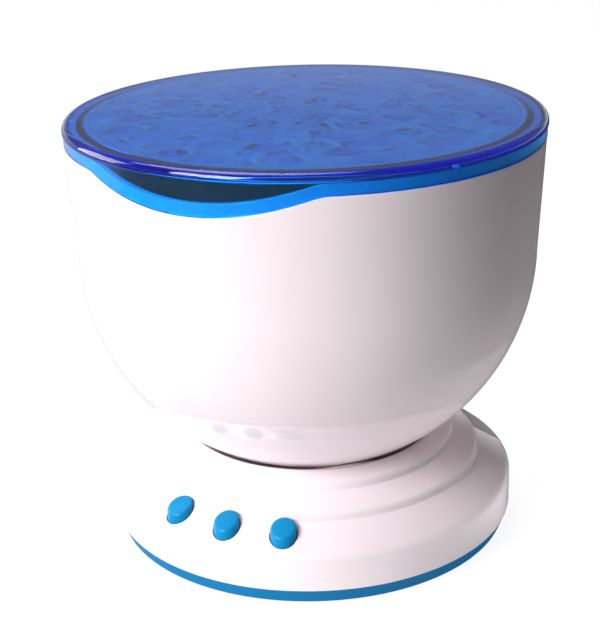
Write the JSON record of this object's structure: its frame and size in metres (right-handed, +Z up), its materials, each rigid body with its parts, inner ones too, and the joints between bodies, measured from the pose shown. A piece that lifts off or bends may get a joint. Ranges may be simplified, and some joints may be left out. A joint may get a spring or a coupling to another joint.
{
  "type": "water ripple projection lamp",
  "caption": "Round table lamp with a ball-shaped white head under a blue rippled lid, which swivels on an oblique axis in a stepped base with push buttons and a battery bay.",
  "frame": {"origin": "middle of the footprint, on the surface that the feet stand on", "axes": "+Z up along the lamp's axis, -Y towards the front with the buttons, +X to the right"},
  "size_m": [0.1324, 0.1324, 0.1206],
  "materials": {
    "white_plastic": "moulded, glossy",
    "lid_blue": "moulded, clear tinted",
    "pan_blue": "moulded, satin",
    "button_blue": "moulded, satin",
    "rubber": "matte",
    "steel": "plated",
    "brass": "turned",
    "circuit_green": "solder mask",
    "circuit_white": "white solder mask",
    "lens_clear": "clear",
    "black_plastic": "moulded",
    "cell_wrap": "plain wrap",
    "gear_plastic": "acetal",
    "speaker_steel": "plated",
    "speaker_paper": "paper"
  },
  "bodies": {
    "base": {"base_shell": "white_plastic", "bottom_cover": "pan_blue", "rubber_feet": "rubber", "case_screws": "steel", "battery_cells": "cell_wrap", "contact_springs": "steel", "contact_plates": "steel", "switch_board": "circuit_green", "tact_switches": "black_plastic", "board_screws": "steel", "control_board": "circuit_green", "dc_jack": "black_plastic", "audio_jack": "black_plastic", "speaker": "speaker_steel", "speaker_cone": "speaker_paper", "seat_ring": "gear_plastic", "swivel_tube": "steel", "tube_nut": "brass", "swivel_nut": "brass"},
    "head": {"bowl": "white_plastic", "lid": "lid_blue", "swivel_washer": "black_plastic", "light_tray": "gear_plastic", "tray_screws": "steel", "led_board": "circuit_white", "leds": "lens_clear", "gear_motor": "steel", "motor_screws": "steel", "disc_spindle": "steel", "spindle_clip": "steel"},
    "disc": {"ripple_disc": "lens_clear", "disc_gear": "gear_plastic"},
    "pinion": {"motor_pinion": "gear_plastic"},
    "left_button": {"button_left": "button_blue"},
    "centre_button": {"button_centre": "button_blue"},
    "right_button": {"button_right": "button_blue"},
    "door": {"battery_door": "pan_blue", "door_screw": "steel"}
  },
  "joints": [
    {"name": "head_swivel", "type": "hinge", "parent": "base", "child": "head", "pos_m": [0, 0, 0.0834], "axis": [-0.3091, 0.2882, 0.9063], "range_deg": [0, 180]},
    {"name": "disc_spin", "type": "hinge", "parent": "head", "child": "disc", "pos_m": [0, 0, 0.0905], "axis": [0, 0, 1], "continuous": true},
    {"name": "pinion_spin", "type": "hinge", "parent": "head", "child": "pinion", "pos_m": [0.0281, 0, 0.0785], "axis": [0, 0, 1], "continuous": true},
    {"name": "battery_door_hinge", "type": "hinge", "parent": "base", "child": "door", "pos_m": [0, 0.04255, 0.0014], "axis": [1, 0, 0], "range_deg": [0, 95]},
    {"name": "left_press", "type": "slide", "parent": "base", "child": "left_button", "axis": [0, 0, -1], "range_m": [0, 0.0006], "stiffness_N_per_m": 600},
    {"name": "centre_press", "type": "slide", "parent": "base", "child": "centre_button", "axis": [0, 0, -1], "range_m": [0, 0.0006], "stiffness_N_per_m": 600},
    {"name": "right_press", "type": "slide", "parent": "base", "child": "right_button", "axis": [0, 0, -1], "range_m": [0, 0.0006], "stiffness_N_per_m": 600}
  ],
  "couplings": [
    {"joint": "pinion_spin", "follows": "disc_spin", "ratio": -4}
  ]
}
